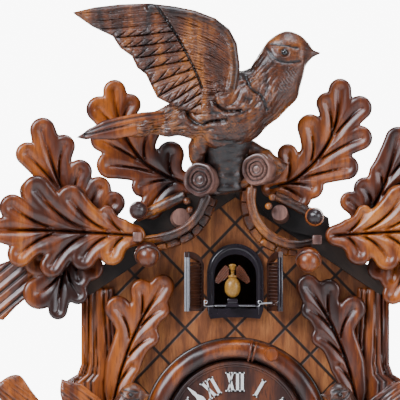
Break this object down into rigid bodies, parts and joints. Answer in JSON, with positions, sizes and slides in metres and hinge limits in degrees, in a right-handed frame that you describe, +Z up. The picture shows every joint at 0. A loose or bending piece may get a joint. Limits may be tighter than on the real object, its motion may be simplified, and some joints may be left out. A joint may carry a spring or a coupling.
{
  "type": "cuckoo_clock",
  "caption": "Carved wall cuckoo clock: bird on a branch over oak leaves, lattice front, cuckoo behind doors, wooden dial, chain-driven movement, weights and pendulum.",
  "frame": {"origin": "On the rear face of the back board, under its hanging hole, where the clock rests flat on the wall; the dial's centre is 150 mm below it.", "axes": "+Z up, +X to the right as seen from the front, the front faces -Y and the wall lies at Y = 0."},
  "size_m": [0.413, 0.205, 0.6341],
  "materials": {
    "carved_wood": "walnut-stained limewood, carved, glossy lacquer",
    "case_wood": "walnut-stained wood, satin lacquer",
    "dark_trim": "black-stained wood, satin",
    "dial_wood": "dark brown stained wood, satin",
    "hand_white": "white, satin gloss",
    "brass": "plain clock brass",
    "steel": "drawn steel wire and rod",
    "cuckoo_gold": "small carved bird painted yellow gold",
    "cuckoo_brown": "thin wing painted brown",
    "pale_wood": "plain unstained wood",
    "bellows_paper": "bellows cloth and paper",
    "cast_weight": "cast iron pine-cone weight, dark brown bronze paint"
  },
  "bodies": {
    "case": {"back_board": "case_wood", "left_side": "case_wood", "right_side": "case_wood", "case_floor": "case_wood", "left_roof": "carved_wood", "right_roof": "carved_wood", "front_panel": "carved_wood", "left_post": "carved_wood", "right_post": "carved_wood", "dial_ring": "carved_wood", "dial": "dial_wood", "window_frame": "dark_trim", "movement_front_plate": "brass", "movement_back_plate": "brass", "gong": "steel", "gong_block": "pale_wood", "left_whistle": "pale_wood", "right_whistle": "pale_wood", "crown_bird": "carved_wood", "bird_near_wing": "carved_wood", "crown_branch": "carved_wood", "left_leaves": "carved_wood", "right_leaves": "carved_wood", "left_front_leaf": "carved_wood", "right_front_leaf": "carved_wood", "bottom_carving": "carved_wood", "left_bird": "carved_wood", "right_bird": "carved_wood"},
    "rear_cover": {"rear_cover": "case_wood"},
    "left_door": {"left_door": "case_wood"},
    "right_door": {"right_door": "case_wood"},
    "cuckoo": {"cuckoo_carriage": "steel", "cuckoo_body": "cuckoo_gold"},
    "cuckoo_beak": {"cuckoo_beak": "cuckoo_gold"},
    "cuckoo_left_wing": {"cuckoo_left_wing": "cuckoo_brown"},
    "cuckoo_right_wing": {"cuckoo_right_wing": "cuckoo_brown"},
    "minute_arbor": {"centre_wheel": "brass", "minute_hand": "hand_white", "hand_nut": "brass"},
    "hour_pipe": {"hour_wheel": "brass", "hour_hand": "hand_white"},
    "minute_wheel": {"minute_wheel": "brass"},
    "time_chain_wheel": {"time_chain_wheel": "brass"},
    "third_wheel": {"third_wheel": "brass"},
    "escape_wheel": {"escape_wheel": "brass"},
    "strike_chain_wheel": {"strike_chain_wheel": "brass"},
    "hammer_wheel": {"hammer_wheel": "brass"},
    "fly": {"fly": "brass"},
    "verge": {"verge": "steel"},
    "pendulum": {"pendulum_rod": "pale_wood", "pendulum_bob": "carved_wood"},
    "gong_hammer": {"gong_hammer": "steel"},
    "left_bellows_lid": {"left_bellows_lid": "bellows_paper"},
    "right_bellows_lid": {"right_bellows_lid": "bellows_paper"},
    "time_weight": {"time_weight_chain": "brass", "time_weight": "cast_weight"},
    "time_ring": {"time_ring_chain": "brass"},
    "strike_weight": {"strike_weight_chain": "brass", "strike_weight": "cast_weight"},
    "strike_ring": {"strike_ring_chain": "brass"}
  },
  "joints": [
    {"name": "rear_cover_hinge", "type": "hinge", "parent": "case", "child": "rear_cover", "pos_m": [-0.0942, -0.001, -0.175], "axis": [0, 0, 1], "range_deg": [0, 100]},
    {"name": "cuckoo_slide", "type": "slide", "parent": "case", "child": "cuckoo", "axis": [0, 1, 0], "range_m": [0, 0.024]},
    {"name": "left_door_hinge", "type": "hinge", "parent": "case", "child": "left_door", "pos_m": [-0.0246, -0.1389, -0.033], "axis": [0, 0, 1], "range_deg": [0, 121]},
    {"name": "right_door_hinge", "type": "hinge", "parent": "case", "child": "right_door", "pos_m": [0.0246, -0.1389, -0.033], "axis": [0, 0, -1], "range_deg": [0, 113]},
    {"name": "cuckoo_left_wing_flap", "type": "hinge", "parent": "cuckoo", "child": "cuckoo_left_wing", "pos_m": [-0.0072, -0.1385, -0.0295], "axis": [0, 1, 0], "range_deg": [0, 28]},
    {"name": "cuckoo_right_wing_flap", "type": "hinge", "parent": "cuckoo", "child": "cuckoo_right_wing", "pos_m": [0.0028, -0.1385, -0.0295], "axis": [0, -1, 0], "range_deg": [0, 28]},
    {"name": "cuckoo_beak_hinge", "type": "hinge", "parent": "cuckoo", "child": "cuckoo_beak", "pos_m": [-0.0022, -0.1494, -0.0257], "axis": [1, 0, 0], "range_deg": [0, 14]},
    {"name": "minute_hand_turn", "type": "hinge", "parent": "case", "child": "minute_arbor", "pos_m": [0, -0.11, -0.15], "axis": [0, 1, 0], "continuous": true},
    {"name": "hour_hand_turn", "type": "hinge", "parent": "case", "child": "hour_pipe", "pos_m": [0, -0.11, -0.15], "axis": [0, 1, 0], "continuous": true},
    {"name": "minute_wheel_turn", "type": "hinge", "parent": "case", "child": "minute_wheel", "pos_m": [0, -0.112, -0.166], "axis": [0, 1, 0], "continuous": true},
    {"name": "time_chain_wheel_turn", "type": "hinge", "parent": "case", "child": "time_chain_wheel", "pos_m": [0.02164, -0.08, -0.17164], "axis": [0, 1, 0], "continuous": true},
    {"name": "third_wheel_turn", "type": "hinge", "parent": "case", "child": "third_wheel", "pos_m": [0.01265, -0.08, -0.132], "axis": [0, 1, 0], "continuous": true},
    {"name": "escape_wheel_turn", "type": "hinge", "parent": "case", "child": "escape_wheel", "pos_m": [0, -0.1, -0.114], "axis": [0, 1, 0], "continuous": true},
    {"name": "strike_chain_wheel_turn", "type": "hinge", "parent": "case", "child": "strike_chain_wheel", "pos_m": [-0.02164, -0.09, -0.17164], "axis": [0, 1, 0], "continuous": true},
    {"name": "hammer_wheel_turn", "type": "hinge", "parent": "case", "child": "hammer_wheel", "pos_m": [-0.02, -0.1, -0.14108], "axis": [0, 1, 0], "continuous": true},
    {"name": "fly_turn", "type": "hinge", "parent": "case", "child": "fly", "pos_m": [-0.024, -0.08, -0.12621], "axis": [0, 1, 0], "continuous": true},
    {"name": "pendulum_swing", "type": "hinge", "parent": "case", "child": "pendulum", "pos_m": [0, -0.048, -0.099], "axis": [0, 1, 0], "range_deg": [-4, 4]},
    {"name": "verge_swing", "type": "hinge", "parent": "case", "child": "verge", "pos_m": [0, -0.08, -0.099], "axis": [0, 1, 0], "range_deg": [-4, 4]},
    {"name": "gong_hammer_lift", "type": "hinge", "parent": "case", "child": "gong_hammer", "pos_m": [-0.038, -0.04, -0.158], "axis": [0, 1, 0], "range_deg": [0, 8]},
    {"name": "left_bellows_lift", "type": "hinge", "parent": "case", "child": "left_bellows_lid", "pos_m": [-0.08, -0.072, -0.0874], "axis": [-1, 0, 0], "range_deg": [0, 12]},
    {"name": "right_bellows_lift", "type": "hinge", "parent": "case", "child": "right_bellows_lid", "pos_m": [0.08, -0.072, -0.0874], "axis": [-1, 0, 0], "range_deg": [0, 12]},
    {"name": "time_weight_drop", "type": "slide", "parent": "case", "child": "time_weight", "axis": [0, 0, -1], "range_m": [-0.03, 0.07]},
    {"name": "time_ring_rise", "type": "slide", "parent": "case", "child": "time_ring", "axis": [0, 0, 1], "range_m": [-0.03, 0.07]},
    {"name": "strike_weight_drop", "type": "slide", "parent": "case", "child": "strike_weight", "axis": [0, 0, -1], "range_m": [-0.03, 0.07]},
    {"name": "strike_ring_rise", "type": "slide", "parent": "case", "child": "strike_ring", "axis": [0, 0, 1], "range_m": [-0.03, 0.07]}
  ],
  "couplings": [
    {"joint": "left_door_hinge", "follows": "cuckoo_slide", "rad_per_m": 87.266},
    {"joint": "right_door_hinge", "follows": "cuckoo_slide", "rad_per_m": 81.449},
    {"joint": "cuckoo_right_wing_flap", "follows": "cuckoo_left_wing_flap", "ratio": 1},
    {"joint": "cuckoo_beak_hinge", "follows": "cuckoo_left_wing_flap", "ratio": 0.5},
    {"joint": "hour_hand_turn", "follows": "minute_hand_turn", "ratio": 0.083333},
    {"joint": "minute_wheel_turn", "follows": "minute_hand_turn", "ratio": -0.33333},
    {"joint": "time_chain_wheel_turn", "follows": "minute_hand_turn", "ratio": -0.13333},
    {"joint": "third_wheel_turn", "follows": "minute_hand_turn", "ratio": -9},
    {"joint": "escape_wheel_turn", "follows": "minute_hand_turn", "ratio": 90},
    {"joint": "hammer_wheel_turn", "follows": "strike_chain_wheel_turn", "ratio": -7.5},
    {"joint": "fly_turn", "follows": "strike_chain_wheel_turn", "ratio": 45},
    {"joint": "verge_swing", "follows": "pendulum_swing", "ratio": 1},
    {"joint": "time_ring_rise", "follows": "time_weight_drop", "ratio": 1},
    {"joint": "strike_ring_rise", "follows": "strike_weight_drop", "ratio": 1}
  ]
}
